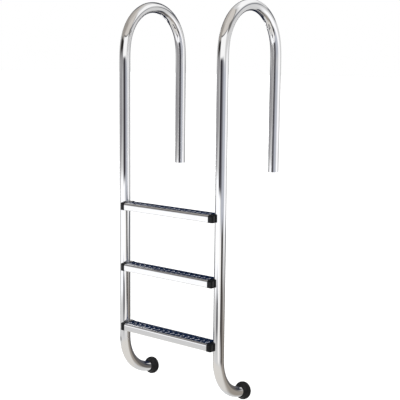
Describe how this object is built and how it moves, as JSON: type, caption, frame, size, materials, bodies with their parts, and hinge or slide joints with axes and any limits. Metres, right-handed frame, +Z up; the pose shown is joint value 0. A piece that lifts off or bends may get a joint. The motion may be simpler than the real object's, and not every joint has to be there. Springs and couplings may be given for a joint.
{
  "type": "pool ladder",
  "caption": "Deck-mounted pool ladder: arched polished tube rails, flat non-slip treads with black end caps, and rubber bumpers on feet bent to the wall.",
  "frame": {"origin": "midway between the end faces of the two deck tails, which stand in the deck sockets", "axes": "+X along the steps, to the right for a person in the water facing the wall; +Y from the water to the deck; +Z up"},
  "size_m": [0.551, 0.416, 1.5736],
  "materials": {
    "polished_steel": "mirror-polished stainless steel",
    "fastener_steel": "plain stainless steel",
    "navy_tread": "glossy moulded non-slip surface with raised waves",
    "black_plastic": "fine moulded grain",
    "black_rubber": "matt moulded rubber"
  },
  "bodies": {
    "root": {"left_rail": "polished_steel", "left_foot_bumper": "black_rubber", "right_rail": "polished_steel", "right_foot_bumper": "black_rubber", "step_1_channel": "polished_steel", "step_1_tread": "navy_tread", "step_1_left_end_cap": "black_plastic", "step_1_left_end_plate": "fastener_steel", "step_1_left_bolt": "fastener_steel", "step_1_left_washer": "fastener_steel", "step_1_left_rivet_nut": "fastener_steel", "step_1_right_end_cap": "black_plastic", "step_1_right_end_plate": "fastener_steel", "step_1_right_bolt": "fastener_steel", "step_1_right_washer": "fastener_steel", "step_1_right_rivet_nut": "fastener_steel", "step_2_channel": "polished_steel", "step_2_tread": "navy_tread", "step_2_left_end_cap": "black_plastic", "step_2_left_end_plate": "fastener_steel", "step_2_left_bolt": "fastener_steel", "step_2_left_washer": "fastener_steel", "step_2_left_rivet_nut": "fastener_steel", "step_2_right_end_cap": "black_plastic", "step_2_right_end_plate": "fastener_steel", "step_2_right_bolt": "fastener_steel", "step_2_right_washer": "fastener_steel", "step_2_right_rivet_nut": "fastener_steel", "step_3_channel": "polished_steel", "step_3_tread": "navy_tread", "step_3_left_end_cap": "black_plastic", "step_3_left_end_plate": "fastener_steel", "step_3_left_bolt": "fastener_steel", "step_3_left_washer": "fastener_steel", "step_3_left_rivet_nut": "fastener_steel", "step_3_right_end_cap": "black_plastic", "step_3_right_end_plate": "fastener_steel", "step_3_right_bolt": "fastener_steel", "step_3_right_washer": "fastener_steel", "step_3_right_rivet_nut": "fastener_steel"}
  },
  "joints": []
}
